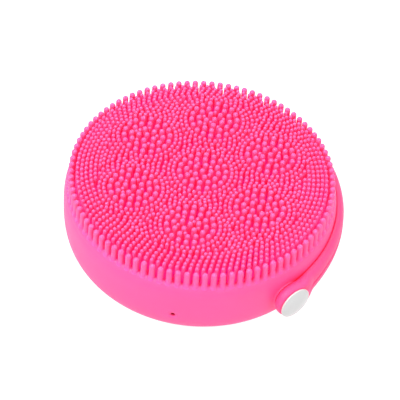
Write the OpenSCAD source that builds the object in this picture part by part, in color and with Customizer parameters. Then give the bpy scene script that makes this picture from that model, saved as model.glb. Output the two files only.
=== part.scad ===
// Round silicone facial cleansing brush with a swinging hand strap.
// It lies on its flat back: the origin is the centre of the back, +Z points to
// the bristles, -Y is the front with the charging port, and millimetres are used.

/* [Body] */
// Radius of the body at its widest
body_r = 50; // [48:0.5:52]
// Radius of the flat back
back_r = 33; // [28:0.5:36]
// Height of the widest point above the back
wide_z = 19.8; // [19.4:0.1:20.2]
// Roundness of the lower edge (higher is squarer)
edge_power = 3.5; // [3:0.1:4.5]
// Height of the outer edge of the bristle face
face_z = 25.6; // [25.2:0.1:26.2]
// Rise of the bristle face at its middle
face_dome = 1.8; // [1:0.1:2]
// Radius of the shoulder where the face begins
shoulder_r = 48.6; // [48.4:0.1:48.8]

/* [Bristles] */
// Number of bristles in the rim row
rim_count = 95; // [80:1:96]
// Radius of the rim row
rim_row_r = 47.5; // [47.3:0.1:47.6]
// Diameter of a rim bristle
rim_d = 2; // [1.4:0.1:2.1]
// Direction of the first rim bristle, anticlockwise from +X
rim_phase = 2; // [0:0.1:3.7]
// Height of the centres of the rim bristles' round tips
rim_tip_z = 32.4; // [31:0.1:33]
// Diameter of a bristle in the seven round clusters
cluster_d = 1.9; // [1.6:0.1:2]
// Height of the centres of the cluster bristles' round tips
cluster_tip_z = 35; // [33:0.1:35.4]
// Distance from the middle to the six outer clusters
cluster_pcd_r = 26.5; // [26.3:0.1:27.6]
// Direction of the first outer cluster, anticlockwise from +X
cluster_angle = 23.8; // [0:0.1:60]
// Radius of the round field that one cluster takes
cluster_field_r = 9.6; // [9.5:0.1:9.8]
// Height of the tips of the fine bristles at the rim
fine_top_z = 33.1; // [32:0.1:33.5]

/* [Strap] */
// Direction of the first strap pivot, from the front towards +X
pivot_azimuth = 41.7; // [38:0.1:46]
// Height of the pivots above the back
pivot_z = 14.8; // [14.4:0.1:15.2]
// Radius of the strap's inner face where it follows the body
strap_in_r = 50.3; // [50.3:0.1:50.6]
// Thickness of the strap
strap_t = 2.6; // [2.4:0.1:2.8]
// Width of the strap
strap_w = 10.4; // [9:0.2:11.6]
// Radius of the strap's round ends
eye_r = 6.5; // [6.3:0.1:6.8]
// Distance from the middle of the body to the inner face of the strap's round ends
eye_in = 50.6; // [50.6:0.1:50.8]
// Thickness of the round ends
eye_t = 4.3; // [4.1:0.1:4.5]
// Angle by which the strap is swung up from level
strap_tilt = 3.5; // [0:0.5:3.5]

/* [Pivots] */
// Radius of the pivot caps
cap_r = 6.2; // [5.8:0.1:6.3]
// Height of a cap's dome
cap_dome = 1.5; // [1.2:0.1:1.8]
// Radius of the pivot screw's plain shoulder
shoulder_pin_r = 3; // [2.8:0.05:3.1]
// Radial clearance between the shoulder and the strap's bush
pivot_gap = 0.05; // [0.03:0.01:0.08]

/* [Charging port] */
// Direction of the port, from the front towards +X
port_azimuth = -7.2; // [-12:0.1:0]
// Height of the port above the back
port_z = 11.6; // [11.5:0.1:12.2]
// Radius of the bore that takes the charging plug's pin
port_bore_r = 1.3; // [1.25:0.01:1.35]
// Length of that bore
port_bore_l = 9; // [8:0.5:10]
// Radius of the hole in the skin over the port
port_skin_r = 1.5; // [1.45:0.05:1.9]

/* [Button] */
// Distance of the button from the middle of the back, towards the front
button_y = 16; // [15:0.5:18]
// Radius of the button's pad
button_r = 6; // [5.5:0.1:6.2]
// Travel of the button
button_travel = 0.6; // [0.4:0.1:0.6]

/* [Case] */
// Height at which the two halves of the case meet
split_z = 7; // [6.9:0.1:7.1]
// Thickness of the skin under and beside the case
skin_t = 2.2; // [2:0.1:2.4]
// Wall thickness of the case
wall_t = 1.8; // [1.6:0.1:2]

/* [Motor] */
// Radius of the motor's can
motor_r = 5; // [4.9:0.1:5]
// Height of the motor's axis
motor_z = 15; // [14.8:0.1:15.2]
// Distance of the motor's axis behind the middle
motor_y = 4; // [3:0.5:5]

/* [Hidden] */

$fn = 96;
pink = [1.0, 0.30, 0.62];
deep_pink = [0.98, 0.22, 0.52];
white = [0.92, 0.92, 0.92];

// profile of a rounded bowl: from radius rb at height z0 up to radius rm at height zw
function bowl(rb, rm, z0, zw, n, k) =
  [for (i = [k:-1:0]) let (t = 90 * i / k)
    [rb + (rm - rb) * pow(max(cos(t), 0), 2 / n), zw - (zw - z0) * pow(max(sin(t), 0), 2 / n)]];
// quarter of an ellipse from (rm, zw) up to (rt, zt)
function shoulder(rm, zw, rt, zt, k) =
  [for (i = [1:k]) let (t = 90 * i / k) [rt + (rm - rt) * cos(t), zw + (zt - zw) * sin(t)]];
// dome over the middle: height at radius r
function face_at(r) = face_z + face_dome * (1 - pow(min(r, 46) / 46, 2));

case_out_r = body_r - skin_t - 0.1;
case_in_r = case_out_r - wall_t;
case_wide_z = wide_z - 0.8;
case_top_z = 23.2;
lid_in_z = case_top_z - wall_t;
floor_z = skin_t + wall_t;
pivot_dir = pivot_azimuth - 90;
port_dir = port_azimuth - 90;
eye_out = eye_in + eye_t;
cap_base = eye_out + 0.15;
cap_rim_h = 0.5;
cap_sphere_r = (cap_r * cap_r + cap_dome * cap_dome) / (2 * cap_dome);
// face of the seat under each washer, and the recess for the screw's head
collar_out = eye_in - 0.9;
head_in = eye_out - 1.1;
// plan of the strap: inner and outer radius at an angle from the front pivot; it swells towards both round ends
function strap_inner(p) = strap_in_r;
function strap_outer(p) = strap_in_r + strap_t + (eye_out - 0.3 - strap_in_r - strap_t) / (1 + pow(min(p, 180 - p) / 8.5, 2.6));
strap_angles = concat([for (i = [0:24]) i], [for (i = [9:51]) 3 * i], [for (i = [156:180]) i]);
// distance of the socket's mouth from the middle
port_mouth = 46.7;
screw_xy = [[30, 22], [-30, 22], [30, -22], [-30, -22]];
board_z = 7.2;
board_t = 1.2;
cell = [34, 24, 6];
cell_y = 22;

module case_outer() {
  rotate_extrude() polygon(concat([[0, skin_t]],
    bowl(back_r - 2, case_out_r, skin_t, case_wide_z, edge_power, 12),
    shoulder(case_out_r, case_wide_z, case_out_r - 1.4, case_top_z, 4), [[0, case_top_z]]));
}
module case_inner() {
  rotate_extrude() polygon(concat([[0, floor_z]],
    bowl(back_r - 3.6, case_in_r, floor_z, case_wide_z, edge_power, 12),
    shoulder(case_in_r, case_wide_z, case_in_r - 1.2, lid_in_z, 4), [[0, lid_in_z]]));
}
// places its children with +X along each strap pivot
module at_pivots() {
  for (k = [0, 1]) rotate([0, 0, pivot_dir + 180 * k]) translate([0, 0, pivot_z]) children();
}
module rod(r, x0, x1) { translate([x0, 0, 0]) rotate([0, 90, 0]) cylinder(r = r, h = x1 - x0); }
module at_port() { rotate([0, 0, port_dir]) translate([0, 0, port_z]) children(); }

// one-piece outer skin: side wall, rounded back edge, flat back and the face that the bristles grow from
module silicone_sleeve() color(pink) difference() {
  union() {
    rotate_extrude() polygon(concat([[0, 0]],
      bowl(back_r, body_r, 0, wide_z, edge_power, 16),
      shoulder(body_r, wide_z, shoulder_r, face_z, 6),
      [for (i = [0:8]) let (r = 46 * (1 - i / 8)) [r, face_at(r)]]));
  }
  case_outer();
  at_pivots() rod(shoulder_pin_r + 0.3, 40, 60);
  // flat seats for the washers
  at_pivots() rod(4.5, collar_out, 63);
  at_port() rod(port_skin_r, 44, 52);
  // shallow dish round the port
  at_port() translate([body_r - 0.75, 0, 0]) rotate([0, 90, 0]) cylinder(r1 = port_skin_r, r2 = port_skin_r + 1, h = 1);
  // button's hole in the back, in a shallow dished recess
  translate([0, -button_y, -1]) cylinder(r = button_r + 0.1, h = 8);
  translate([0, -button_y, -0.01]) cylinder(r1 = button_r + 2.2, r2 = button_r + 0.1, h = 0.7);
}

// a bristle: a straight stem with a round tip, standing on height z0
module bristle(d, z0, z1) {
  rotate_extrude() polygon(concat([[0, z0], [d / 2, z0]],
    [for (i = [0:4]) let (t = 90 * i / 4) [d / 2 * cos(t), z1 + d / 2 * sin(t)]]));
}
// single row of stout bristles round the rim
module rim_bristles() color(pink) for (i = [0:rim_count - 1])
  rotate([0, 0, rim_phase + 360 * i / rim_count]) translate([rim_row_r, 0, 0]) bristle(rim_d, face_z, rim_tip_z);

module cluster_places() {
  children();
  for (k = [0:5]) rotate([0, 0, cluster_angle + 60 * k]) translate([cluster_pcd_r, 0, 0])
    rotate([0, 0, -cluster_angle - 60 * k]) children();
}
// plain stand-in volume of the fine bristles: a domed mat with a round gap for each cluster
module fine_bristles() color(pink) difference() {
  rotate_extrude() polygon(concat(
    [for (i = [0:8]) let (r = 46 * i / 8) [r, face_at(r)]],
    [for (i = [0:8]) let (r = 46 * (1 - i / 8)) [r, face_at(r) + fine_top_z - face_z]]));
  cluster_places() translate([0, 0, 20]) cylinder(r = cluster_field_r, h = 20);
}
// seven round clusters of thick bristles: a low mat in each gap of the fine field,
// with its bristles as one domed block of their outer size
module cluster_bristles() color(pink) difference() {
  cluster_places() translate([0, 0, face_z - 1]) cylinder(r = cluster_field_r - 0.3, h = cluster_tip_z + cluster_d / 2 - face_z + 1);
  rotate_extrude() polygon(concat([[0, 10], [46, 10]],
    [for (i = [0:8]) let (r = 46 * (1 - i / 8)) [r, face_at(r)]]));
}

function ring_points(f, t) = [for (p = strap_angles) [(f == 0 ? strap_inner(p) : strap_outer(p) - t) * cos(p), (f == 0 ? strap_inner(p) : strap_outer(p) - t) * sin(p)]];
function back(p) = [for (i = [len(p) - 1:-1:0]) p[i]];
// band that runs round one side of the body, with a thicker round eyelet at each end
module hand_strap() color(deep_pink) difference() {
  union() {
    rotate([0, 0, pivot_dir]) translate([0, 0, pivot_z]) rotate([strap_tilt, 0, 0]) translate([0, 0, -strap_w / 2]) {
      linear_extrude(height = strap_w) polygon(concat(ring_points(1, 0.6), back(ring_points(0, 0))));
      translate([0, 0, 1.2]) linear_extrude(height = strap_w - 2.4) polygon(concat(ring_points(1, 0), back(ring_points(0, 0))));
    }
    at_pivots() rod(eye_r, eye_in, eye_out);
  }
  // holes for the bushes, clear of the washers
  at_pivots() rod(4.6, 45, 60);
  // flat seats for the caps
  at_pivots() rod(cap_r + 0.3, eye_out, 63);
}
// plastic bushes pressed into the strap's eyelets, each with a recess for the screw's head
module strap_bushes() color([0.95, 0.95, 0.93]) at_pivots() difference() {
  rod(4.6, eye_in, eye_out);
  rod(shoulder_pin_r + pivot_gap, eye_in - 1, eye_out + 1);
  rod(4, head_in, eye_out + 1);
}
// thin washers between the skin and the strap
module pivot_washers() color([0.9, 0.9, 0.88]) at_pivots() difference() {
  rod(4.1, collar_out + 0.1, eye_in - 0.1);
  rod(shoulder_pin_r + pivot_gap, collar_out - 1, eye_in + 1);
}
// steel shoulder screws that hold the strap; the strap turns on the plain shoulder
module pivot_screws() color([0.75, 0.76, 0.78]) at_pivots() difference() {
  union() {
    rod(1.45, 40.5, 47.1);
    rod(shoulder_pin_r, 47.1, head_in + 0.05);
    rod(3.85, head_in + 0.05, eye_out);
  }
  // hexagon socket in the head
  translate([eye_out - 1.6, 0, 0]) rotate([0, 90, 0]) cylinder(r = 1.6, h = 3, $fn = 6);
}
// brass inserts in the case for the pivot screws
module pivot_inserts() color([0.80, 0.62, 0.30]) at_pivots() difference() {
  rod(2.6, 40, 46.8);
  rod(1.5, 39, 48);
}
// white domed caps; the stem of each is pressed into the socket of its pivot screw
module pivot_caps() color(white) at_pivots() rotate([0, 90, 0]) rotate_extrude()
  polygon(concat([[0, eye_out - 1.4], [1.35, eye_out - 1.4], [1.35, cap_base], [cap_r - 0.15, cap_base], [cap_r, cap_base + 0.15]],
    [for (i = [0:9]) let (r = cap_r * (1 - i / 9)) [r, cap_base + cap_rim_h + sqrt(pow(cap_sphere_r, 2) - r * r) - cap_sphere_r + cap_dome]]));

// upper half of the hard case: a lid with bosses for the screws and the strap pivots
module upper_case() color([0.86, 0.86, 0.85]) difference() {
  union() {
    difference() {
      intersection() { case_outer(); translate([0, 0, split_z]) cylinder(r = 60, h = 40); }
      case_inner();
    }
    for (p = screw_xy) translate([p[0], p[1], split_z]) cylinder(r = 3, h = lid_in_z - split_z + 0.5);
    at_pivots() rod(5, 38, 46.5);
    // ring that steadies the charging socket
    at_port() rod(4, 42.8, 46.1);
  }
  for (p = screw_xy) translate([p[0], p[1], split_z - 1]) cylinder(r = 1.05, h = 9.3);
  at_pivots() rod(2.6, 40, 47.3);
  at_pivots() rod(shoulder_pin_r + 0.2, 46.8, 52);
  at_port() rod(3.05, 40, 52);
  translate([0, 0, split_z]) gasket_ring();
}
// lower half of the hard case: a tray with posts for the board
module lower_case() color([0.80, 0.80, 0.79]) difference() {
  union() {
    difference() {
      intersection() { case_outer(); translate([0, 0, -10]) cylinder(r = 60, h = split_z + 10); }
      case_inner();
    }
    for (p = screw_xy) translate([p[0], p[1], floor_z - 0.5]) cylinder(r = 3.4, h = split_z - floor_z + 0.5);
    for (x = [-21, 21], y = [-31, -9]) translate([x, y, floor_z - 0.5]) cylinder(r = 2.2, h = board_z - floor_z + 0.5);
    for (x = [-21, 21]) translate([x, cell_y, floor_z - 0.5]) cylinder(r = 2.4, h = 3.5);
    // guide round the button's plunger
    translate([0, -button_y, floor_z - 0.5]) cylinder(r = 4, h = 0.9);
  }
  for (p = screw_xy) translate([p[0], p[1], 0]) { cylinder(r = 1.1, h = 20); cylinder(r = 2.1, h = 4.4); }
  for (x = [-21, 21], y = [-31, -9]) translate([x, y, 4.6]) cylinder(r = 0.8, h = 4);
  for (x = [-21, 21]) translate([x, cell_y, 4.4]) cylinder(r = 0.8, h = 4);
  translate([0, -button_y, 0]) cylinder(r = 2.58, h = 6);
  translate([12, -button_y, 0]) cylinder(r = 1.55, h = 6);
  translate([0, 0, split_z]) gasket_ring();
}
module gasket_ring() rotate_extrude() translate([case_in_r - 1.6, -0.4]) square([0.8, 0.8]);
// ring seal in the joint between the halves of the case
module case_gasket() color([0.15, 0.15, 0.15]) translate([0, 0, split_z]) gasket_ring();
// self-tapping screws that close the case
module case_screws() color([0.72, 0.73, 0.75]) for (p = screw_xy) translate([p[0], p[1], 0]) difference() {
  union() { translate([0, 0, 2.6]) cylinder(r = 1.9, h = 1.8); translate([0, 0, 4.4]) cylinder(r = 1, h = 10.6); }
  translate([-1.3, -0.25, 2]) cube([2.6, 0.5, 1.4]);
  translate([-0.25, -1.3, 2]) cube([0.5, 2.6, 1.4]);
}

// pad that the finger presses, in the dished recess of the back
module power_button() color(deep_pink) translate([0, -button_y, 0]) difference() {
  translate([0, 0, 0.7]) cylinder(r = button_r, h = 0.9);
  translate([0, 0, -17.2]) sphere(r = 18);
}
// plunger that carries the press to the switch
module button_plunger() color([0.9, 0.9, 0.9]) translate([0, -button_y, 0]) union() {
  translate([0, 0, 1.6]) cylinder(r = 2.5, h = 2.8);
}
// clear rod that leads the status light to the skin of the back
module light_guide() color([0.9, 0.95, 1.0, 0.6]) translate([12, -button_y, skin_t]) cylinder(r = 1.5, h = 3.8);

// circuit board on the posts of the tray
module circuit_board() color([0.05, 0.35, 0.18]) difference() {
  translate([-24, -34, board_z]) cube([48, 28, board_t]);
  for (x = [-21, 21], y = [-31, -9]) translate([x, y, board_z - 1]) cylinder(r = 1.1, h = 4);
}
module board_screws() color([0.72, 0.73, 0.75]) for (x = [-21, 21], y = [-31, -9]) translate([x, y, 0]) {
  translate([0, 0, board_z + board_t]) cylinder(r = 1.6, h = 1);
  translate([0, 0, 5]) cylinder(r = 0.75, h = board_z + board_t - 5);
}
// push switch on the underside of the board, over the plunger
module tactile_switch() color([0.2, 0.2, 0.2]) translate([0, -button_y, 0]) {
  translate([-3, -3, 5.4]) cube([6, 6, board_z - 5.4]);
  translate([0, 0, 4.4 + button_travel + 0.02]) cylinder(r = 1.6, h = 0.9 - button_travel + 0.2);
}
module status_light() color([0.9, 0.9, 0.5]) translate([12 - 1, -button_y - 0.6, board_z - 0.9]) cube([2, 1.2, 0.9]);
module control_chip() color([0.12, 0.12, 0.12]) {
  translate([-14, -28, board_z + board_t]) cube([7, 7, 1]);
  translate([4, -29, board_z + board_t]) cube([4, 5, 1.2]);
}
// white connector that the battery's wires plug into
module battery_socket() color([0.94, 0.93, 0.88]) translate([-4, -11.5, board_z + board_t]) difference() {
  cube([8, 4.4, 4.2]);
  translate([1, 1.6, 1]) cube([6, 3, 2.4]);
}
// lithium pouch cell
module battery() color([0.70, 0.72, 0.76]) translate([0, cell_y, floor_z + 0.6]) {
  translate([-cell[0] / 2, -cell[1] / 2, 0]) cube([cell[0], cell[1], cell[2]]);
}
module battery_pad() color([0.25, 0.25, 0.25]) translate([-12, cell_y - 10, floor_z]) cube([24, 14, 0.6]);
// bridge that holds the cell down
module battery_clamp() color([0.82, 0.82, 0.80]) difference() {
  union() {
    translate([-24, cell_y - 5, floor_z + 0.6 + cell[2] + 0.2]) cube([48, 10, 1.2]);
    for (x = [-21, 21]) translate([x, cell_y, 7]) cylinder(r = 2.6, h = floor_z + 0.6 + cell[2] + 1.4 - 7);
  }
  for (x = [-21, 21]) translate([x, cell_y, 6]) cylinder(r = 1.1, h = 10);
}
module clamp_screws() color([0.72, 0.73, 0.75]) for (x = [-21, 21]) translate([x, cell_y, 0]) {
  translate([0, 0, floor_z + 0.6 + cell[2] + 1.4]) cylinder(r = 1.7, h = 1);
  translate([0, 0, 4.8]) cylinder(r = 0.75, h = floor_z + 0.6 + cell[2] + 1.4 - 4.8);
}

// plug-in charging socket, held in the wall of the case
module charging_socket() color([0.1, 0.1, 0.1]) at_port() difference() {
  union() { rod(3, 33, port_mouth); rod(4, 41.2, 42.2); }
  rod(1.75, 35, 50);
}
// metal barrel that the plug's pin slides into
module socket_barrel() color([0.8, 0.8, 0.82]) at_port() difference() {
  rod(1.75, 36.4, port_mouth);
  rod(port_bore_r, port_mouth - port_bore_l, 60);
  rod(0.5, 36, 39);
}
// spring contact at the bottom of the barrel
module socket_contact() color([0.85, 0.7, 0.35]) at_port() rod(1.2, 35, 36.4);
// ring between the socket's flange and the case
module socket_seal() color([0.15, 0.15, 0.15]) at_port() difference() { rod(3.9, 42.2, 42.8); rod(3.05, 42, 43); }

// saddle under the lid that holds the motor from above
module motor_bracket() color([0.82, 0.82, 0.80]) difference() {
  translate([-12, motor_y - 9, motor_z]) cube([18, 18, lid_in_z - motor_z]);
  translate([0, motor_y, motor_z]) rod(motor_r + 0.02, -30, 30);
  for (y = [-7.3, 7.3]) translate([-3, motor_y + y, motor_z - 1]) cylinder(r = 0.8, h = 5);
}
// band under the motor, screwed to the saddle
module motor_strap() color([0.72, 0.73, 0.75]) difference() {
  union() {
    intersection() {
      translate([0, motor_y, motor_z]) rod(motor_r + 0.8, -6, 0);
      translate([-10, motor_y - 10, motor_z - 10]) cube([20, 20, 10]);
    }
    translate([-6, motor_y - 9, motor_z - 0.8]) cube([6, 18, 0.8]);
  }
  translate([0, motor_y, motor_z]) rod(motor_r + 0.02, -30, 30);
  for (y = [-7.3, 7.3]) translate([-3, motor_y + y, motor_z - 2]) cylinder(r = 0.8, h = 5);
}
module motor_strap_screws() color([0.72, 0.73, 0.75]) for (y = [-7.3, 7.3]) translate([-3, motor_y + y, 0]) {
  translate([0, 0, motor_z - 1.8]) cylinder(r = 1.3, h = 1);
  translate([0, 0, motor_z - 0.8]) cylinder(r = 0.6, h = 4);
}
module at_motor() translate([0, motor_y, motor_z]) children();
// steel can of the motor, closed at the weight's end
module motor_can() color([0.74, 0.75, 0.77]) at_motor() difference() {
  rod(motor_r, -14, 7);
  rod(motor_r - 0.5, -15, 6.4);
  rod(1.6, 5, 8);
}
module motor_end_bell() color([0.92, 0.92, 0.9]) at_motor() difference() {
  union() { rod(motor_r - 0.5, -14, -12); rod(motor_r, -14.8, -14); }
  rod(1.6, -16, -11);
}
module motor_magnets() color([0.3, 0.3, 0.32]) at_motor() difference() {
  rod(motor_r - 0.5, -8, 4);
  rod(3.2, -9, 5);
  for (z = [0]) translate([-10, -10, -0.8]) cube([20, 20, 1.6]);
}
module motor_bushes() color([0.72, 0.52, 0.28]) at_motor() {
  difference() { rod(1.6, -14.8, -12.4); rod(0.79, -16, -11); }
  difference() { rod(1.6, 5.4, 7.6); rod(0.79, 5, 9); }
}
module motor_shaft() color([0.8, 0.81, 0.83]) at_motor() rod(0.75, -15.6, 15.5);
module motor_rotor() color([0.55, 0.36, 0.22]) at_motor() difference() { rod(2.95, -7.4, 3.4); rod(0.75, -10, 8); }
module motor_commutator() color([0.80, 0.50, 0.30]) at_motor() difference() { rod(1.5, -11.4, -8.4); rod(0.75, -12, -8); }
// off-centre weight that makes the brush vibrate
module eccentric_weight() color([0.6, 0.61, 0.62]) at_motor() difference() {
  union() {
    difference() { rod(4.4, 9, 15); translate([0, -10, 0.6]) cube([20, 20, 10]); }
    rod(1.7, 9, 15);
  }
  rod(0.75, 5, 20);
}

// a wire swept along points by rings of n sides, with two directions across it
function unit(v) = v / norm(v);
function dir_at(p, i) = unit(p[min(i + 1, len(p) - 1)] - p[max(i - 1, 0)]);
function curve(p, k) = [for (i = [0:len(p) - 2]) let (a = p[max(i - 1, 0)], b = p[i], c = p[i + 1], d = p[min(i + 2, len(p) - 1)])
  for (j = [0:k - 1]) let (t = j / k) 0.5 * ((2 * b) + (c - a) * t + (2 * a - 5 * b + 4 * c - d) * t * t + (3 * b - a - 3 * c + d) * t * t * t), p[len(p) - 1]];
module wire(pts, r, n = 8) {
  p = curve(pts, 4);
  m = len(p);
  rings = [for (i = [0:m - 1]) let (t = dir_at(p, i), u = unit(cross(t, [0.3, 0.2, 1])), v = cross(t, u))
    for (j = [0:n - 1]) p[i] + r * (cos(360 * j / n) * u + sin(360 * j / n) * v)];
  polyhedron(points = rings, faces = concat([[for (j = [0:n - 1]) j]],
    [for (i = [0:m - 2], j = [0:n - 1]) [i * n + j, (i + 1) * n + j, (i + 1) * n + (j + 1) % n, i * n + (j + 1) % n]],
    [[for (j = [n - 1:-1:0]) (m - 1) * n + j]]), convexity = 6);
}
// pair of wires from the cell to its connector
module battery_wires() color([0.75, 0.1, 0.1]) for (s = [-1, 1])
  wire([[s * 1.2, -9.85, 10.8], [s * 1.2, -6.9, 10.8], [s * 1.6, -3.6, 9.4], [s * 2, 1, 7.4], [s * 2.2, 6, 7.4], [s * 2.2, cell_y - cell[1] / 2 - 0.02, 7.6]], 0.5);
// pair of wires from the board to the charging socket
module socket_wires() color([0.15, 0.15, 0.15]) for (s = [-1, 1])
  wire([[s * 1.4 - 3.4, -24.5, board_z + board_t + 0.05], [s * 1.4 - 3.4, -24.7, 9.8], [s * 1.4 - 3.5, -26, 11.1], [s * 1.3 - 3.7, -28.6, 11.6], [s * 1.2 - 4.05, -32.2, 11.6]], 0.5);
// pair of wires from the board to the motor
module motor_wires() color([0.1, 0.2, 0.6]) for (s = [-1, 1])
  wire([[s * 1.2 - 19, -14, board_z + board_t + 0.05], [s * 1.2 - 19, -13.5, 11], [s * 1.2 - 19, -6, 14], [-18.6, 0, 15 + s], [-17, 3.2, 15 + s * 2.6], [-14.85, 4, 15 + s * 2.9]], 0.45);

silicone_sleeve();
rim_bristles();
fine_bristles();
cluster_bristles();
hand_strap();
strap_bushes();
pivot_washers();
pivot_screws();
pivot_inserts();
pivot_caps();
upper_case();
lower_case();
case_gasket();
case_screws();
power_button();
button_plunger();
light_guide();
circuit_board();
board_screws();
tactile_switch();
status_light();
control_chip();
battery_socket();
battery();
battery_pad();
battery_clamp();
clamp_screws();
battery_wires();
charging_socket();
socket_barrel();
socket_contact();
socket_seal();
socket_wires();
motor_bracket();
motor_strap();
motor_strap_screws();
motor_can();
motor_end_bell();
motor_magnets();
motor_bushes();
motor_shaft();
motor_rotor();
motor_commutator();
eccentric_weight();
motor_wires();
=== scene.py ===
import math

import bmesh
import bpy
import numpy as np
from mathutils import Matrix, Vector


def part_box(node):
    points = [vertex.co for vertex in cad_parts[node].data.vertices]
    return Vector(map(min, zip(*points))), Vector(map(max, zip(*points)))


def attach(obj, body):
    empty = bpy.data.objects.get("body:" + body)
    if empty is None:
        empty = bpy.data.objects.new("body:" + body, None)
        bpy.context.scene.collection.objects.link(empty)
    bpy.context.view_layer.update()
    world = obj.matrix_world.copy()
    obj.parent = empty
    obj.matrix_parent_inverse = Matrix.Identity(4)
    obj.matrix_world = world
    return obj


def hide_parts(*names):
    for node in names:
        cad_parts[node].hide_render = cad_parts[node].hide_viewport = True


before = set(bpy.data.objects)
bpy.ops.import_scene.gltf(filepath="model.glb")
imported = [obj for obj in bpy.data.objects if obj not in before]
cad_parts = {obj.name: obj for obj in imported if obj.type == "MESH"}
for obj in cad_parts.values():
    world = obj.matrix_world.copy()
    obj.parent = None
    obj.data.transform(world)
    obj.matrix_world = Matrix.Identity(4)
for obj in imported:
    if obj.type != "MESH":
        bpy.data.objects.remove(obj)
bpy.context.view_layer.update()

MM = 0.001
scene = bpy.context.scene
rng = np.random.default_rng(615)

# ---------------------------------------------------------------- sizes, in mm
s_lo, s_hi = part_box("silicone_sleeve")
BODY_R = (s_hi.x - s_lo.x) / 2 / MM          # widest radius of the body
BACK_R = 33.0
WIDE_Z = 19.8
FACE_Z = 25.6
FACE_DOME = s_hi.z / MM - FACE_Z             # rise of the bristle face
RIM_TIP_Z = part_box("rim_bristles")[1].z / MM - 1.0
CL_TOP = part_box("cluster_bristles")[1].z / MM - 0.05
p_lo, p_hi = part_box("pivot_caps")
PIVOT_Z = (p_lo.z + p_hi.z) / 2 / MM
PIVOT_DIR = math.radians(41.7 - 90)            # direction of the front pivot in the XY plane
t_lo, t_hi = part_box("hand_strap")
STRAP_HALF = 5.2                             # half the width of the strap's band
TILT = math.radians(3.5)                     # the strap is swung up from level by this
SEAT = 49.7                                  # flat seat of the skin under each end of the strap
PORT_DIR = math.radians(-7.2 - 90)
PORT_Z = 11.6
BUTTON_Y = -16.0


def smooth(a, b, x):
    t = np.clip((np.asarray(x, float) - a) / (b - a), 0, 1)
    return t * t * (3 - 2 * t)


# ---------------------------------------------------------------- mesh helpers
def make_object(name, verts, faces, smooth_angle=35.0):
    """A mesh object from points in mm; faces as one or more integer arrays of quads, triangles or longer rings."""
    me = bpy.data.meshes.new(name)
    co = np.asarray(verts, np.float32) * MM
    loops, starts, total = [], [], 0
    for f in faces:
        f = np.asarray(f, np.int64)
        loops.append(f.ravel())
        starts.append(total + np.arange(len(f)) * f.shape[1])
        total += f.size
    loops, starts = np.concatenate(loops), np.concatenate(starts)
    me.vertices.add(len(co))
    me.vertices.foreach_set("co", co.ravel())
    me.loops.add(len(loops))
    me.loops.foreach_set("vertex_index", loops.astype(np.int32))
    me.polygons.add(len(starts))
    me.polygons.foreach_set("loop_start", starts.astype(np.int32))
    me.update(calc_edges=True)
    me.validate()
    ob = bpy.data.objects.new(name, me)
    scene.collection.objects.link(ob)
    finish_mesh(ob, smooth_angle)
    return ob


def finish_mesh(ob, angle=35.0):
    """Outward normals, smooth faces, sharp only where two faces meet at more than the angle."""
    bm = bmesh.new()
    bm.from_mesh(ob.data)
    bmesh.ops.recalc_face_normals(bm, faces=bm.faces)
    lim = math.radians(angle)
    for f in bm.faces:
        f.smooth = True
    for e in bm.edges:
        e.smooth = len(e.link_faces) != 2 or e.calc_face_angle(0.0) < lim
    bm.to_mesh(ob.data)
    bm.free()
    ob.data.update()


def revolve(profile, n, closed_ends=True, start=0.0):
    """Points and faces of a profile [(r, z)] turned about Z; the ends at r = 0 become poles."""
    profile = [(float(r), float(z)) for r, z in profile]
    verts, rings = [], []
    for r, z in profile:
        if r < 1e-9:
            rings.append([len(verts)])
            verts.append((0, 0, z))
        else:
            rings.append(list(range(len(verts), len(verts) + n)))
            a = start + np.arange(n) * 2 * math.pi / n
            verts += list(zip(r * np.cos(a), r * np.sin(a), np.full(n, z)))
    quads, tris = [], []
    for k in range(len(rings) - 1):
        a, b = rings[k], rings[k + 1]
        for j in range(n):
            j2 = (j + 1) % n
            if len(a) == 1 and len(b) == 1:
                continue
            if len(a) == 1:
                tris.append((a[0], b[j], b[j2]))
            elif len(b) == 1:
                tris.append((a[j], b[0], a[j2]))
            else:
                quads.append((a[j], b[j], b[j2], a[j2]))
    return np.array(verts, float), quads, tris


def revolved(name, profile, n, matrix=None, angle=35.0):
    v, q, t = revolve(profile, n)
    if matrix is not None:
        v = v @ np.array(matrix)[:3, :3].T + np.array(matrix)[:3, 3]
    faces = [f for f in (q, t) if len(f)]
    return make_object(name, v, faces, angle)


def along(direction, z, base=0.0):
    """Matrix that takes +Z of a turned profile to the horizontal direction (radians), at a height."""
    c, s = math.cos(direction), math.sin(direction)
    return np.array([[0.0, -s, c, c * base], [0.0, c, s, s * base], [-1.0, 0.0, 0.0, z], [0, 0, 0, 1]])


def arc(cx, cy, r, a0, a1, k):
    return [(cx + r * math.cos(math.radians(a)), cy + r * math.sin(math.radians(a))) for a in np.linspace(a0, a1, k + 1)]


def cut(ob, cutter, kind="DIFFERENCE"):
    """Takes the cutter out of the object, or adds it, and removes the cutter."""
    mod = ob.modifiers.new("cut", "BOOLEAN")
    mod.operation = kind
    mod.solver = "EXACT"
    mod.object = cutter
    dg = bpy.context.evaluated_depsgraph_get()
    me = bpy.data.meshes.new_from_object(ob.evaluated_get(dg))
    ob.modifiers.remove(mod)
    old = ob.data
    ob.data = me
    me.name = ob.name
    bpy.data.meshes.remove(old)
    bpy.data.objects.remove(cutter)


def add(ob, other):
    """Makes one solid of the two objects."""
    cut(ob, other, "UNION")


def join(name, obs):
    """Joins several mesh objects into one, by their vertices."""
    bm = bmesh.new()
    for o in obs:
        bm.from_mesh(o.data)
    me = bpy.data.meshes.new(name)
    bm.to_mesh(me)
    bm.free()
    for o in obs:
        old = o.data
        bpy.data.objects.remove(o)
        bpy.data.meshes.remove(old)
    ob = bpy.data.objects.new(name, me)
    scene.collection.objects.link(ob)
    return ob


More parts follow.
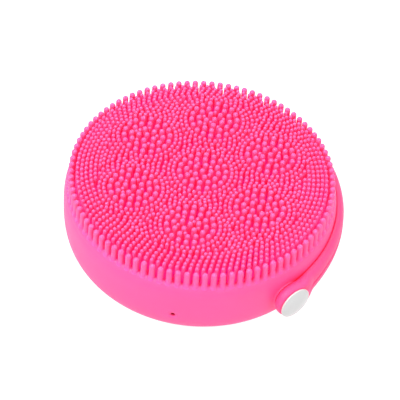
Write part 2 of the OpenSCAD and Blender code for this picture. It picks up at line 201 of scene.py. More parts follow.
# ---------------------------------------------------------------- materials
def srgb(r, g, b):
    def lin(c):
        c /= 255.0
        return c / 12.92 if c <= 0.04045 else ((c + 0.055) / 1.055) ** 2.4
    return (lin(r), lin(g), lin(b), 1.0)


def new_material(name):
    m = bpy.data.materials.new(name)
    m.use_nodes = True
    nt = m.node_tree
    nt.nodes.clear()
    out = nt.nodes.new("ShaderNodeOutputMaterial")
    bsdf = nt.nodes.new("ShaderNodeBsdfPrincipled")
    nt.links.new(bsdf.outputs[0], out.inputs["Surface"])
    return m, nt, bsdf


def noise(nt, scale, detail=3.0, rough=0.5, kind="ShaderNodeTexNoise"):
    tc = nt.nodes.new("ShaderNodeTexCoord")
    n = nt.nodes.new(kind)
    n.inputs["Scale"].default_value = scale
    if "Detail" in n.inputs:
        n.inputs["Detail"].default_value = detail
    if "Roughness" in n.inputs:
        n.inputs["Roughness"].default_value = rough
    nt.links.new(tc.outputs["Object"], n.inputs["Vector"])
    return n


def ramp(nt, source, stops):
    r = nt.nodes.new("ShaderNodeValToRGB")
    e = r.color_ramp.elements
    while len(e) < len(stops):
        e.new(0.5)
    for k, (p, c) in enumerate(stops):
        e[k].position = p
        e[k].color = c
    nt.links.new(source, r.inputs[0])
    return r


def bump(nt, bsdf, height, strength, distance):
    b = nt.nodes.new("ShaderNodeBump")
    b.inputs["Strength"].default_value = strength
    b.inputs["Distance"].default_value = distance
    nt.links.new(height, b.inputs["Height"])
    nt.links.new(b.outputs[0], bsdf.inputs["Normal"])
    return b


def vary(nt, bsdf, source, low, high, key="Roughness"):
    mr = nt.nodes.new("ShaderNodeMapRange")
    mr.inputs["To Min"].default_value = low
    mr.inputs["To Max"].default_value = high
    nt.links.new(source, mr.inputs["Value"])
    nt.links.new(mr.outputs[0], bsdf.inputs[key])
    return mr


def silicone(name, light, dark, rough=(0.42, 0.56), sss=0.25, radius=(1.0, 0.45, 0.7), scale=0.0022,
             grade=None, coat=0.0, sheen=0.0, inner=None):
    """Soft moulded silicone: light scattering under a satin skin with fine unevenness. grade = (z0, z1, colour at z0)
    paints shade on the root of a bristle, darker towards the colour at z0, where shade falls between the bristles;
    inner is a painted glow, emitted at the root and fading out by z1, that brightens the gaps between the roots."""
    m, nt, b = new_material(name)
    n = noise(nt, 55.0, 4.0, 0.6)
    col = ramp(nt, n.outputs[0], [(0.30, dark), (0.70, light)])
    colour = col.outputs[0]
    if grade:
        # painted shade: the colour darkens towards the bristle's root, where shade falls between the bristles
        z0, z1, shade_colour = grade
        tc = nt.nodes.new("ShaderNodeTexCoord")
        sep = nt.nodes.new("ShaderNodeSeparateXYZ")
        mr = nt.nodes.new("ShaderNodeMapRange")
        mr.interpolation_type = "SMOOTHSTEP"
        mr.inputs["From Min"].default_value = z0 * MM
        mr.inputs["From Max"].default_value = z1 * MM
        mix = nt.nodes.new("ShaderNodeMix")
        mix.data_type = "RGBA"
        nt.links.new(tc.outputs["Object"], sep.inputs[0])
        nt.links.new(sep.outputs["Z"], mr.inputs["Value"])
        nt.links.new(mr.outputs[0], mix.inputs["Factor"])
        mix.inputs["A"].default_value = shade_colour
        nt.links.new(colour, mix.inputs["B"])
        colour = mix.outputs["Result"]
        # painted glow: emission at the bristle's root, fading out upwards, lights the gaps between the roots
        if inner:
            painted_glow_mix = nt.nodes.new("ShaderNodeMix")
            painted_glow_mix.data_type = "RGBA"
            nt.links.new(mr.outputs[0], painted_glow_mix.inputs["Factor"])
            painted_glow_mix.inputs["A"].default_value = inner
            painted_glow_mix.inputs["B"].default_value = (0.0, 0.0, 0.0, 1.0)
            nt.links.new(painted_glow_mix.outputs["Result"], b.inputs["Emission Color"])
            b.inputs["Emission Strength"].default_value = 1.0
    nt.links.new(colour, b.inputs["Base Color"])
    fine = noise(nt, 900.0, 2.0, 0.5)
    vary(nt, b, n.outputs[0], rough[0], rough[1])
    bump(nt, b, fine.outputs[0], 0.12, 0.00006)
    b.inputs["Subsurface Weight"].default_value = sss
    b.inputs["Subsurface Radius"].default_value = radius
    b.inputs["Subsurface Scale"].default_value = scale
    b.inputs["IOR"].default_value = 1.41
    b.inputs["Specular IOR Level"].default_value = 0.4
    b.inputs["Coat Weight"].default_value = coat
    b.inputs["Coat Roughness"].default_value = 0.5
    b.inputs["Sheen Weight"].default_value = sheen
    b.inputs["Sheen Roughness"].default_value = 0.6
    b.inputs["Sheen Tint"].default_value = light
    return m


def plastic(name, light, dark, rough=(0.3, 0.4), grain=700.0, grain_depth=0.00003, coat=0.0, sss=0.0, alpha=None, transmission=0.0):
    """Moulded plastic: slight mottling, a fine moulded grain."""
    m, nt, b = new_material(name)
    n = noise(nt, 35.0, 3.0, 0.55)
    col = ramp(nt, n.outputs[0], [(0.32, dark), (0.68, light)])
    nt.links.new(col.outputs[0], b.inputs["Base Color"])
    g = noise(nt, grain, 2.0, 0.6)
    vary(nt, b, n.outputs[0], rough[0], rough[1])
    bump(nt, b, g.outputs[0], 0.25, grain_depth)
    b.inputs["Coat Weight"].default_value = coat
    b.inputs["Coat Roughness"].default_value = 0.12
    b.inputs["Subsurface Weight"].default_value = sss
    b.inputs["Subsurface Radius"].default_value = (1.0, 0.9, 0.85)
    b.inputs["Subsurface Scale"].default_value = 0.001
    b.inputs["Transmission Weight"].default_value = transmission
    return m


def metal(name, light, dark, rough=(0.25, 0.4), brushed=(1, 1, 1), scale=300.0):
    """Bare metal with turned or drawn marks."""
    m, nt, b = new_material(name)
    tc = nt.nodes.new("ShaderNodeTexCoord")
    mp = nt.nodes.new("ShaderNodeMapping")
    mp.inputs["Scale"].default_value = brushed
    n = nt.nodes.new("ShaderNodeTexNoise")
    n.inputs["Scale"].default_value = scale
    n.inputs["Detail"].default_value = 4.0
    nt.links.new(tc.outputs["Object"], mp.inputs["Vector"])
    nt.links.new(mp.outputs[0], n.inputs["Vector"])
    col = ramp(nt, n.outputs[0], [(0.3, dark), (0.7, light)])
    nt.links.new(col.outputs[0], b.inputs["Base Color"])
    b.inputs["Metallic"].default_value = 1.0
    vary(nt, b, n.outputs[0], rough[0], rough[1])
    bump(nt, b, n.outputs[0], 0.15, 0.00002)
    return m


PINK = (0.985, 0.064, 0.240, 1.0)
PINK_DARK = (0.98, 0.059, 0.226, 1.0)
STRAP = (0.98, 0.050, 0.190, 1.0)
STRAP_DARK = (0.975, 0.046, 0.180, 1.0)
TIP = (0.965, 0.080, 0.258, 1.0)
TIP_DARK = (0.96, 0.075, 0.244, 1.0)
# painted shade: the bristle roots are coloured darker towards this, standing in for the shade between the bristles
PAINTED_ROOT_SHADE = (0.82, 0.074, 0.43, 1.0)

# painted shade for the roots of the rim bristles
PAINTED_RIM_ROOT_SHADE = (0.95, 0.066, 0.28, 1.0)
# painted glow: emitted at the roots of the cluster and fine bristles to light the gaps between them
PAINTED_ROOT_GLOW = (0.15, 0.008, 0.135, 1.0)

MAT = {
    "body": silicone("silicone_body", PINK, PINK_DARK),
    # the rim, cluster and fine bristles carry painted shade and a painted glow at their roots
    "rim": silicone("silicone_rim_bristle", TIP, TIP_DARK, grade=(24.5, 31.5, PAINTED_RIM_ROOT_SHADE), scale=0.0016, sss=0.5, inner=(0.15, 0.004, 0.03, 1.0)),
    "thick": silicone("silicone_thick_bristle", TIP, TIP_DARK, grade=(25.5, 34.5, PAINTED_ROOT_SHADE), scale=0.0016, sss=0.5, inner=PAINTED_ROOT_GLOW),
    "fine": silicone("silicone_fine_bristle", TIP, TIP_DARK, grade=(25.5, 34.0, PAINTED_ROOT_SHADE), scale=0.0014, sss=0.5, inner=PAINTED_ROOT_GLOW),
    "strap": silicone("silicone_strap", STRAP, STRAP_DARK, scale=0.0018),
    "cap": plastic("white_cap_plastic", (0.44, 0.44, 0.44, 1), (0.42, 0.42, 0.42, 1), rough=(0.28, 0.36), coat=0.15, sss=0.1),
    "natural": plastic("natural_plastic", (0.82, 0.81, 0.76, 1), (0.76, 0.75, 0.70, 1), rough=(0.35, 0.5)),
    "case": plastic("case_plastic", (0.68, 0.68, 0.66, 1), (0.60, 0.60, 0.585, 1), rough=(0.45, 0.6), grain_depth=0.00006),
    "seal": silicone("black_seal_rubber", (0.02, 0.02, 0.02, 1), (0.012, 0.012, 0.012, 1), sss=0.0),
    "steel": metal("bright_steel", (0.62, 0.63, 0.65, 1), (0.45, 0.46, 0.48, 1)),
    "can": metal("drawn_steel", (0.52, 0.53, 0.55, 1), (0.38, 0.39, 0.41, 1), brushed=(0.05, 1, 1)),
    "brass": metal("turned_brass", (0.78, 0.56, 0.24, 1), (0.60, 0.42, 0.17, 1)),
    "bronze": metal("sintered_bronze", (0.62, 0.38, 0.18, 1), (0.42, 0.25, 0.11, 1), rough=(0.45, 0.6), scale=1200),
    "copper": metal("copper_winding", (0.80, 0.36, 0.18, 1), (0.45, 0.18, 0.08, 1), brushed=(0.1, 6, 6), scale=500),
    "clear": plastic("clear_plastic", (0.90, 0.95, 1.0, 1), (0.85, 0.9, 0.95, 1), rough=(0.05, 0.12), transmission=0.9),
    "board": plastic("solder_mask_green", (0.02, 0.16, 0.06, 1), (0.012, 0.10, 0.04, 1), rough=(0.25, 0.4), coat=0.4),
    "black": plastic("black_plastic", (0.03, 0.03, 0.032, 1), (0.018, 0.018, 0.02, 1), rough=(0.4, 0.55)),
    "led": plastic("led_resin", (0.85, 0.82, 0.35, 1), (0.75, 0.72, 0.25, 1), rough=(0.1, 0.2), coat=0.5),
    "foil": metal("cell_foil", (0.66, 0.67, 0.70, 1), (0.50, 0.51, 0.54, 1), rough=(0.35, 0.5), scale=120),
    "red": silicone("red_wire_insulation", (0.55, 0.02, 0.015, 1), (0.45, 0.015, 0.01, 1), sss=0.0),
    "wire_black": silicone("black_wire_insulation", (0.02, 0.02, 0.02, 1), (0.012, 0.012, 0.012, 1), sss=0.0),
    "blue": silicone("blue_wire_insulation", (0.02, 0.06, 0.45, 1), (0.015, 0.045, 0.36, 1), sss=0.0),
    "magnet": metal("ferrite_magnet", (0.12, 0.12, 0.13, 1), (0.07, 0.07, 0.075, 1), rough=(0.5, 0.65)),
}
CAD_LOOK = {
    "strap_bushes": "natural", "pivot_washers": "natural", "pivot_screws": "steel", "pivot_inserts": "brass",
    "upper_case": "case", "lower_case": "case", "case_gasket": "seal", "case_screws": "steel",
    "button_plunger": "natural", "light_guide": "clear", "circuit_board": "board", "board_screws": "steel",
    "tactile_switch": "black", "status_light": "led", "control_chip": "black", "battery_socket": "natural",
    "battery": "foil", "battery_pad": "seal", "battery_clamp": "case", "clamp_screws": "steel",
    "battery_wires": "red", "charging_socket": "black", "socket_barrel": "steel", "socket_contact": "brass",
    "socket_seal": "seal", "socket_wires": "wire_black", "motor_bracket": "case", "motor_strap": "steel",
    "motor_strap_screws": "steel", "motor_can": "can", "motor_end_bell": "natural", "motor_magnets": "magnet",
    "motor_bushes": "bronze", "motor_shaft": "steel", "motor_rotor": "copper", "motor_commutator": "bronze",
    "eccentric_weight": "can", "motor_wires": "blue",
}
for node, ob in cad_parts.items():
    if node in CAD_LOOK:
        ob.data.materials.clear()
        ob.data.materials.append(MAT[CAD_LOOK[node]])


def dress(ob, mat, body, slot, *nodes):
    ob.data.materials.clear()
    ob.data.materials.append(MAT[mat])
    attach(ob, body)
    if nodes:
        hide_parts(*nodes)
    return ob


# ---------------------------------------------------------------- silicone skin
def body_radius(z):
    """Outer radius of the skin at a height, below the shoulder."""
    u = np.clip((WIDE_Z - np.asarray(z, float)) / WIDE_Z, 0, 1)
    return BACK_R + (BODY_R - BACK_R) * (1 - u ** 3.5) ** (1 / 3.5)


def face_height(r):
    return FACE_Z + FACE_DOME * (1 - (np.minimum(r, 46.0) / 46.0) ** 2)


def resample(points, step):
    p = np.array(points, float)
    d = np.r_[0, np.cumsum(np.hypot(*np.diff(p, axis=0).T))]
    n = max(2, int(round(d[-1] / step)) + 1)
    t = np.linspace(0, d[-1], n)
    return list(zip(np.interp(t, d, p[:, 0]), np.interp(t, d, p[:, 1])))


def skin_profile():
    t = np.linspace(math.pi / 2, 0, 600)
    low = [(BACK_R + (BODY_R - BACK_R) * math.cos(a) ** (2 / 3.5), WIDE_Z - WIDE_Z * math.sin(a) ** (2 / 3.5)) for a in t]
    low[0] = (BACK_R, 0.0)
    low[-1] = (BODY_R, WIDE_Z)
    sh = []
    for k in range(1, 200):
        z = WIDE_Z + (FACE_Z + 0.15 - WIDE_Z) * k / 199
        q = (z - WIDE_Z) / (FACE_Z + 0.15 - WIDE_Z)
        sh.append((48.75 + (BODY_R - 48.75) * math.sqrt(max(0.0, 1 - q ** 2.2)), z))
    # the shoulder runs up into a low web that joins the feet of the rim bristles
    side = [p for p in low + sh if p[1] <= WEB_START]
    r0 = side[-1][0]
    web = []
    for k in range(1, 15):
        f = k / 14
        r = r0 - (r0 - 47.55) * (1 - math.cos(math.pi / 2 * f)) ** 0.85
        web.append((r, WEB_START + (WEB_TOP - WEB_START) * math.sin(math.pi / 2 * f)))
    inner_side = [(47.55 - 1.9 * u, WEB_TOP + (float(face_height(45.65)) - WEB_TOP) * float(smooth(0, 1, u))) for u in np.linspace(0.1, 1, 10)]
    face = [(r, float(face_height(r))) for r in np.linspace(45.2, 0, 40)]
    flat = [(r, 0.0) for r in np.linspace(0, BACK_R - 0.6, 10)]
    return [(0.0, 0.0)] + flat[1:] + resample(side, 0.75) + web + inner_side + face


WEB_START, WEB_TOP = 25.0, 27.1
skin = revolved("sleeve_outer", skin_profile(), 288)
# hollow for the hard case
case_r, case_wz, case_top = BODY_R - 2.3, WIDE_Z - 0.8, 23.2
inner = [(0.0, 2.2 - 0.02)]
for a in np.linspace(math.pi / 2, 0, 28):
    inner.append((BACK_R - 2 + (case_r - BACK_R + 2) * math.cos(a) ** (2 / 3.5) + 0.02, case_wz - (case_wz - 2.2) * math.sin(a) ** (2 / 3.5) - 0.02 * math.sin(a)))
for k in range(1, 9):
    a = math.radians(90 * k / 8)
    inner.append((case_r - 1.4 + 1.4 * math.cos(a) + 0.02, case_wz + (case_top - case_wz) * math.sin(a) + 0.02 * math.sin(a)))
inner.append((0.0, case_top + 0.02))
hollow = revolved("sleeve_hollow", inner, 144)
cut(skin, hollow)
# flat seats and holes of the pivots, each with a low lip that closes the gap round the washer
for d in (0, math.pi):
    lip = [(0.0, 47.5), (6.9, 47.5), (6.9, 49.35)] + [(5.3 + 1.6 * (1 - math.sin(t)), 49.35 + 1.13 * (1 - math.cos(t)) ** 0.8) for t in np.linspace(0.1, math.pi / 2, 10)] + [(0.0, 50.48)]
    add(skin, revolved("lip", lip, 96, along(PIVOT_DIR + d, PIVOT_Z)))
    seat = [(0.0, 44.0), (3.3, 44.0), (3.3, SEAT - 0.25), (3.5, SEAT), (4.2, SEAT), (4.25, SEAT + 0.1), (4.25, 50.35), (4.4, 50.6), (4.4, 56.0), (0.0, 56.0)]
    cut(skin, revolved("seat_cutter", seat, 64, along(PIVOT_DIR + d, PIVOT_Z)))
# mouth of the charging port: a soft dimple that narrows to the hole
lip = float(body_radius(PORT_Z))
mouth = [(0.0, 44.0), (1.45, 44.0), (1.45, lip - 1.7), (0.9, lip - 1.3), (0.8, lip - 0.8)]
mouth += [(0.8 + 1.9 * u ** 1.5, lip - 0.72 + 0.76 * math.sin(math.pi / 2 * u)) for u in np.linspace(0.08, 1, 12)] + [(2.85, lip + 0.1), (3.0, lip + 2), (0.0, lip + 2)]
cut(skin, revolved("port_cutter", mouth, 64, along(PORT_DIR, PORT_Z)))
# button's hole in a dished recess
dish = [(0.0, -1.0), (9.4, -1.0), (9.4, 0.0)] + [(6.1 + 3.3 * math.cos(a), 0.6 * math.sin(a)) for a in np.linspace(0.15, math.pi / 2, 12)] + [(6.1, 4.0), (0.0, 4.0)]
m = np.eye(4)
m[1, 3] = BUTTON_Y
cut(skin, revolved("button_cutter", dish, 72, m))
skin.name = "silicone_skin"
finish_mesh(skin, 40)
dress(skin, "body", "body", "body_silicone", "silicone_sleeve")


# ---------------------------------------------------------------- bristles
def bristle_mesh(name, places, d, root_d, flare, sides, lean=0.0, tip_rings=4, shaft_rings=2):
    """Bristles as closed stems with a round tip and a flared foot. places = rows of x, y, root z, tip z (the top)."""
    places = np.asarray(places, float)
    n = len(places)
    r = d / 2
    # profile as (radius, kind, value): kind 0 measures from the root, 1 from the tip's centre
    prof = [(root_d / 2 + flare, 0, -0.55), (root_d / 2 + flare, 0, -0.05), (root_d / 2 + flare * 0.45, 0, 0.22),
            (root_d / 2 + flare * 0.12, 0, 0.6)]
    for k in range(1, shaft_rings + 1):
        prof.append((None, 2, k / (shaft_rings + 1)))
    for k in range(tip_rings):
        a = math.radians(90 * k / tip_rings)
        prof.append((r * math.cos(a), 1, r * math.sin(a)))
    m = len(prof)
    ang = np.arange(sides) * 2 * math.pi / sides
    spin = rng.uniform(0, 2 * math.pi, n)
    ca = np.cos(ang[None, :] + spin[:, None])
    sa = np.sin(ang[None, :] + spin[:, None])
    tip_c = places[:, 3] - r
    lx = rng.normal(0, lean, n)
    ly = rng.normal(0, lean, n)
    height = tip_c - places[:, 2]
    verts = np.zeros((n, m * sides + 2, 3))
    for k, (rad, kind, val) in enumerate(prof):
        if kind == 0:
            z = places[:, 2] + val
        elif kind == 1:
            z = tip_c + val
        else:
            z = places[:, 2] + 0.6 + (height - 0.6) * val
            rad = root_d / 2 + (r - root_d / 2) * val
        h = np.clip((z - places[:, 2]) / height, 0, 1.3)
        bend = h ** 1.6 * height
        sl = slice(k * sides, (k + 1) * sides)
        verts[:, sl, 0] = (places[:, 0] + lx * bend)[:, None] + rad * ca
        verts[:, sl, 1] = (places[:, 1] + ly * bend)[:, None] + rad * sa
        verts[:, sl, 2] = z[:, None]
    h = 1.0 + r / height
    verts[:, -2] = np.stack([places[:, 0], places[:, 1], places[:, 2] - 0.55], 1)
    verts[:, -1] = np.stack([places[:, 0] + lx * h ** 1.6 * height, places[:, 1] + ly * h ** 1.6 * height, places[:, 3]], 1)
    j = np.arange(sides)
    j2 = (j + 1) % sides
    quads = np.concatenate([np.stack([k * sides + j, k * sides + j2, (k + 1) * sides + j2, (k + 1) * sides + j], 1) for k in range(m - 1)])
    tris = np.concatenate([np.stack([np.full(sides, m * sides), j2, j], 1),
                           np.stack([np.full(sides, m * sides + 1), (m - 1) * sides + j, (m - 1) * sides + j2], 1)])
    off = (np.arange(n) * (m * sides + 2))[:, None, None]
    return make_object(name, verts.reshape(-1, 3), [(quads[None] + off).reshape(-1, 4), (tris[None] + off).reshape(-1, 3)], 70)


RIM_N = 95
RIM_R = 47.5
a = np.arange(RIM_N) * 2 * math.pi / RIM_N + math.radians(2.04)
rim_places = np.stack([RIM_R * np.cos(a), RIM_R * np.sin(a), np.full(RIM_N, WEB_TOP - 0.35), np.full(RIM_N, RIM_TIP_Z + 1.0)], 1)
rim = bristle_mesh("rim_bristle_row", rim_places, 2.1, 2.2, 0.5, 24, 0.004, 7, 3)
dress(rim, "rim", "body", "body_silicone", "rim_bristles")

HEX_R, HEX_A = 26.45, 24.1
centres = [(0.0, 0.0, HEX_A + 300)] + [(HEX_R * math.cos(math.radians(HEX_A + 60 * k)), HEX_R * math.sin(math.radians(HEX_A + 60 * k)), HEX_A + 60 * k) for k in range(6)]

thick = []
for i, (cx, cy, az) in enumerate(centres):
    for n, r, p, up in ((18, 8.45, 0.0, -0.1), (12, 5.8, 0.0, 0.0), (5, 3.05, 36.0, 0.05), (1, 0.0, 0.0, 0.05)):
        for k in range(n):
            t = math.radians(az + p) + k * 2 * math.pi / n
            x, y = cx + r * math.cos(t), cy + r * math.sin(t)
            thick.append((x, y, float(face_height(math.hypot(x, y))), CL_TOP + up - (0.0 if i else 0.2)))
thick = np.array(thick)
clusters = bristle_mesh("cluster_bristle_tufts", thick, 1.9, 2.05, 0.25, 20, 0.006, 6, 3)
dress(clusters, "thick", "body", "body_silicone", "cluster_bristles")

# fine bristles: two rings round each cluster, four rings along the rim, and shorter arcs that fill what is left
FINE_D = 1.36
fine = []


def far_enough(x, y, lim):
    return all((x - p[0]) ** 2 + (y - p[1]) ** 2 >= lim * lim for p in fine)


def add_ring(cx, cy, r, n, phase, lim, r_max=46.0, r_min=0.0):
    for k in range(n):
        t = math.radians(phase) + 2 * math.pi * k / n
        x, y = cx + r * math.cos(t), cy + r * math.sin(t)
        if not r_min <= math.hypot(x, y) <= r_max:
            continue
        if (np.hypot(thick[:, 0] - x, thick[:, 1] - y) < 1.7).any():
            continue
        if far_enough(x, y, lim):
            fine.append((x, y))


for cx, cy, az in centres:
    add_ring(cx, cy, 10.7, 35, az + 180 / 35, 1.3)
for cx, cy, az in centres:
    add_ring(cx, cy, 12.35, 35, az, 1.42)
for r, n, phase in ((45.2, 122, 331 / 122), (43.65, 119, 298 / 119), (42.05, 117, 208 / 117), (40.4, 115, 130 / 115)):
    add_ring(0, 0, r, n, phase, 1.42)
for cx, cy, az in centres:
    add_ring(cx, cy, 14.1, 40, az + 4.5, 1.6, 37.5)
for r, n in ((38.8, 112), (37.2, 106), (35.7, 100), (34.3, 96)):
    add_ring(0, 0, r, n, 1.2, 1.55)
for cx, cy, az in centres:
    add_ring(cx, cy, 15.28, 12, az, 1.55, 33)
# whatever is still bare between the rings
for gx in np.arange(-42, 42.01, 0.35):
    for gy in np.arange(-42, 42.01, 0.35):
        if math.hypot(gx, gy) < 41 and (np.hypot(thick[:, 0] - gx, thick[:, 1] - gy) > 1.85).all() and far_enough(gx, gy, 1.5):
            fine.append((gx, gy))
fine = np.array(fine)
rr = np.hypot(fine[:, 0], fine[:, 1])
near = np.min([np.hypot(fine[:, 0] - c[0], fine[:, 1] - c[1]) for c in centres], 0)
by_cluster = np.interp(near, [10.7, 12.35, 14.1, 16], [34.72, 34.3, 34.1, 34.0])
by_rim = np.interp(rr, [30, 38.8, 40.4, 42.05, 43.65, 45.2], [36.0, 34.25, 33.9, 33.6, 33.3, 33.0])
top = np.minimum(by_cluster, by_rim) + FINE_D / 2 + rng.normal(0, 0.04, len(rr))
places = np.stack([fine[:, 0], fine[:, 1], face_height(rr), top], 1)
small = bristle_mesh("fine_bristle_field", places, FINE_D, 1.46, 0.16, 14, 0.006, 4, 2)
dress(small, "fine", "body", "body_silicone", "fine_bristles")
print("fine bristles", len(fine), "thick", len(thick))


# ---------------------------------------------------------------- strap
EYE_IN, EYE_OUT, R_EYE = 50.6, 54.9, 6.5
ARC_R = 51.6                                 # radius at which lengths along the strap are measured
RUN = math.pi * ARC_R                        # from pivot to pivot


def band_radii(p):
    """Inner and outer radius of the band at p degrees from the front pivot; it swells towards both ends."""
    q = min(p, 180.0 - p)
    return 50.24, 53.1 + 1.75 / (1 + (q / 12.0) ** 2.4)


def strap_row(l):
    """Inner and outer point, in the strap's own plane, at length l from the front pivot; l < 0 and l > RUN lie beyond the pivots."""
    p = min(max(l / ARC_R, 0.0), math.pi)
    r_in, r_out = band_radii(math.degrees(p))
    c, s = math.cos(p), math.sin(p)
    band = np.array([[r_in * c, r_in * s], [r_out * c, r_out * s]])
    d, sx = (l, 1.0) if l < RUN / 2 else (RUN - l, -1.0)
    disc = np.array([[sx * EYE_IN, d], [sx * EYE_OUT, d]])
    w_in, w_out = float(smooth(1.0, 8.0, d)), float(smooth(5.4, 10.5, d))
    return np.array([disc[0] * (1 - w_in) + band[0] * w_in, disc[1] * (1 - w_out) + band[1] * w_out]), d


def strap_mesh():
    """Moulded band with two rounded beads and round ends. Rows run along the band, columns across it."""
    end = [-R_EYE * math.cos(t) for t in np.linspace(0.0, math.pi / 2, 26)][:-1]
    near = list(np.linspace(0, 26, 66)) + list(np.linspace(26, 60, 40))[1:]
    rows = end + near + list(np.linspace(60, RUN - 26, 60))[1:] + list(np.linspace(RUN - 26, RUN, 60))[1:] + [RUN - e for e in end[::-1]]
    u_half = np.sin(np.linspace(0, math.pi / 2, 44))
    base = np.r_[-u_half[::-1], u_half[1:]]
    nr, nc = len(rows), len(base)
    outer, inner = np.zeros((nr, nc, 3)), np.zeros((nr, nc, 3))
    for i, l in enumerate(rows):
        (p_in, p_out), d = strap_row(l)
        w = math.sqrt(max(R_EYE ** 2 - d * d, 0.0)) if d < 0 else R_EYE + (STRAP_HALF - R_EYE) * float(smooth(0.0, 11.0, d))
        s = w * base
        thick_mm = float(np.linalg.norm(p_out - p_in))
        # round end: a thick disc, rolled over on both faces
        rho = np.hypot(d, s) if d < 0 else np.abs(base) * R_EYE
        k = np.clip((rho - (R_EYE - 1.5)) / 1.5, 0, 1)
        disc_o = 1 - (1 - np.sqrt(np.maximum(0.0, 1 - k ** 2.2))) * 1.5 / 4.3
        k = np.clip((rho - (R_EYE - 2.2)) / 2.2, 0, 1)
        disc_i = (1 - np.sqrt(np.maximum(0.0, 1 - k ** 2.1))) * 2.2 / 4.3
        # band: full and round, with a shallow groove along its middle near the front end
        u = np.abs(base)
        e_o = (1 - u ** 2.8) ** (1 / 2.1)
        e_i = np.sqrt(np.maximum(0.0, 1 - np.clip((u - 0.86) / 0.14, 0, 1) ** 2))
        band_o = 0.16 + 0.84 * e_o
        band_i = 0.16 - 0.16 * e_i
        fade = float(smooth(6.2, 9.5, d)) * (1 - float(smooth(24.0, 46.0, d)))
        band_o = band_o - GROOVE * fade * np.exp(-((s - 0.4) / 0.45) ** 2) / thick_mm
        t = float(smooth(4.0, 12.0, d))
        h_o = disc_o + (band_o - disc_o) * t
        h_i = disc_i + (band_i - disc_i) * t
        for arr, h in ((outer, h_o), (inner, h_i)):
            xy = p_in[None, :] + (p_out - p_in)[None, :] * h[:, None]
            arr[i] = np.stack([xy[:, 0], xy[:, 1] * math.cos(TILT) - s * math.sin(TILT), xy[:, 1] * math.sin(TILT) + s * math.cos(TILT)], 1)
    verts = np.concatenate([outer.reshape(-1, 3), inner.reshape(-1, 3)])
    c, s_ = math.cos(PIVOT_DIR), math.sin(PIVOT_DIR)
    rot = np.array([[c, -s_, 0], [s_, c, 0], [0, 0, 1]])
    verts = verts @ rot.T + np.array([0, 0, PIVOT_Z])
    quads = []
    N = nr * nc
    for i in range(nr - 1):
        for j in range(nc - 1):
            a0, a1, b0, b1 = i * nc + j, i * nc + j + 1, (i + 1) * nc + j, (i + 1) * nc + j + 1
            quads.append((a0, b0, b1, a1))
            quads.append((N + a0, N + a1, N + b1, N + b0))
        for j in (0, nc - 1):
            a0, b0 = i * nc + j, (i + 1) * nc + j
            quads.append((a0, N + a0, N + b0, b0) if j == 0 else (a0, b0, N + b0, N + a0))
    for i in (0, nr - 1):                     # rows of no width at the two ends
        for j in range(nc - 1):
            quads.append((i * nc + j, i * nc + j + 1, N + i * nc + j + 1, N + i * nc + j))
    ob = make_object("strap_band", verts, [quads], 50)
    bm = bmesh.new()
    bm.from_mesh(ob.data)
    bmesh.ops.remove_doubles(bm, verts=bm.verts, dist=1.5e-6)
    bmesh.ops.dissolve_degenerate(bm, dist=1e-6, edges=bm.edges)
    loose = [f for f in bm.faces if f.calc_area() < 1e-14]
    if loose:
        bmesh.ops.delete(bm, geom=loose, context="FACES")
    holes = [e for e in bm.edges if len(e.link_faces) == 1]
    if holes:
        bmesh.ops.holes_fill(bm, edges=holes)
    open_e = sum(len(e.link_faces) != 2 for e in bm.edges)
    print("strap: open edges", open_e)
    bm.to_mesh(ob.data)
    bm.free()
    for d in (0, math.pi):
        cut(ob, revolved("eye_cutter", [(0.0, 48.0), (4.6, 48.0), (4.6, 59.0), (0.0, 59.0)], 64, along(PIVOT_DIR + d, PIVOT_Z)))
    finish_mesh(ob, 50)
    return ob


GROOVE = 1.0
strap = strap_mesh()
dress(strap, "strap", "strap", "strap_silicone", "hand_strap")


# ---------------------------------------------------------------- pivot caps
CAP_R, CAP_BASE, CAP_RIM, CAP_APEX = 6.2, 55.05, 55.55, 57.05


def cap_profile():
    # shallow dome, rounded over into a short edge, on a stem
    h = CAP_APEX - CAP_RIM
    rs = (CAP_R ** 2 + h * h) / (2 * h)
    dome = [(r, CAP_APEX - rs + math.sqrt(rs * rs - r * r)) for r in np.linspace(0, 5.75, 20)]
    r1, z1 = dome[-1]
    roll = [(r1 + (CAP_R - r1) * math.sin(t), z1 - (z1 - CAP_RIM + 0.12) * (1 - math.cos(t))) for t in np.linspace(0.2, math.pi / 2, 9)]
    low = [(CAP_R, CAP_BASE + 0.14), (CAP_R - 0.05, CAP_BASE + 0.04), (CAP_R - 0.15, CAP_BASE)]
    stem = [(1.35, CAP_BASE), (1.35, CAP_BASE - 1.45), (1.25, CAP_BASE - 1.55), (0.0, CAP_BASE - 1.55)]
    return dome + roll + low + stem


caps = [revolved("cap_" + str(i), cap_profile(), 96, along(PIVOT_DIR + d, PIVOT_Z)) for i, d in enumerate((0, math.pi))]
cap = join("pivot_cap_pair", caps)
finish_mesh(cap, 40)
dress(cap, "cap", "body", "white_cap", "pivot_caps")


# ---------------------------------------------------------------- button pad
def button_profile():
    top = [(r, 0.75 + 0.55 * (1 - (r / 5.2) ** 2)) for r in np.linspace(0, 5.2, 12)]      # finger dish
    ring = [(5.2 + 0.8 * math.sin(t), 0.75 - 0.0 + 0.35 * (1 - math.cos(t)) ) for t in np.linspace(0.12, math.pi / 2, 8)]
    return top + ring + [(6.0, 1.4), (5.85, 1.55), (0.0, 1.55)]


m = np.eye(4)
m[1, 3] = BUTTON_Y
pad = revolved("button_pad", button_profile(), 96, m)
dress(pad, "strap", "button", "strap_silicone", "power_button")

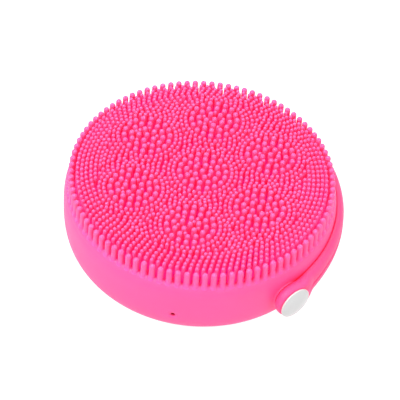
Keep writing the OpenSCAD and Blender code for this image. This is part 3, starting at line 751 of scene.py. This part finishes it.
# ---------------------------------------------------------------- floor, light, camera
fl = bpy.data.meshes.new("floor")
fl.from_pydata([(-3, -3, 0), (3, -3, 0), (3, 3, 0), (-3, 3, 0)], [], [(0, 1, 2, 3)])
floor = bpy.data.objects.new("floor", fl)
scene.collection.objects.link(floor)
fm, nt, b = new_material("pale_floor")
n = noise(nt, 3.0, 2.0, 0.5)
col = ramp(nt, n.outputs[0], [(0.3, (0.22, 0.22, 0.22, 1)), (0.7, (0.23, 0.23, 0.23, 1))])
nt.links.new(col.outputs[0], b.inputs["Base Color"])
b.inputs["Roughness"].default_value = 0.9
b.inputs["Specular IOR Level"].default_value = 0.1
b.inputs["Emission Color"].default_value = (1.0, 1.0, 1.0, 1)
b.inputs["Emission Strength"].default_value = 0.92
fl.materials.append(fm)

world = bpy.data.worlds.new("studio")
scene.world = world
world.use_nodes = True
bg = world.node_tree.nodes["Background"]
bg.inputs[0].default_value = (1.0, 1.0, 1.0, 1)
bg.inputs[1].default_value = 1.0


def area(name, loc, target, size, power, colour=(1, 1, 1)):
    la = bpy.data.lights.new(name, "AREA")
    la.shape = "DISK"
    la.size = size
    la.energy = power
    la.color = colour
    o = bpy.data.objects.new(name, la)
    o.location = loc
    o.rotation_euler = (Vector(target) - Vector(loc)).to_track_quat("-Z", "Y").to_euler()
    scene.collection.objects.link(o)
    return o


area("key", (-0.55, -0.35, 0.9), (0, 0, 0.02), 0.6, 13.0)
area("fill", (0.7, -0.6, 0.6), (0, 0, 0.02), 0.8, 4.0)
area("top", (0.1, 0.5, 1.0), (0, 0, 0.02), 0.8, 7.0)

scene.view_settings.view_transform = "Standard"
scene.view_settings.look = "None"
scene.view_settings.exposure = 0.0
scene.view_settings.gamma = 1.0
scene.cycles.max_bounces = 16
scene.cycles.diffuse_bounces = 10

# camera: 47 degrees above the floor, looking along +Y, rolled 5 degrees
E, ROLL, DIST, F_PX = math.radians(47.075), math.radians(4.99), 760.0, 2097.2
CX, CY = 202.26, 175.53
target = np.array([0.0, 0.0, RIM_TIP_Z])
X = np.array([1.0, 0, 0])
U = np.array([0, math.sin(E), math.cos(E)])
B = np.array([0, -math.cos(E), math.sin(E)])
RIGHT = math.cos(ROLL) * X + math.sin(ROLL) * U
UP = -math.sin(ROLL) * X + math.cos(ROLL) * U
eye = target + B * DIST
look = -B * F_PX + RIGHT * (200 - CX) - UP * (200 - CY)
look /= np.linalg.norm(look)
right = np.cross(look, UP)
right /= np.linalg.norm(right)
up = np.cross(right, look)
cam_data = bpy.data.cameras.new("camera")
cam_data.sensor_width = 36.0
cam_data.lens = F_PX * 36.0 / 400.0
cam_data.clip_start, cam_data.clip_end = 0.01, 20.0
cam = bpy.data.objects.new("camera", cam_data)
cam.matrix_world = Matrix(((right[0], up[0], -look[0], eye[0] * MM), (right[1], up[1], -look[1], eye[1] * MM), (right[2], up[2], -look[2], eye[2] * MM), (0, 0, 0, 1)))
scene.collection.objects.link(cam)
scene.camera = cam
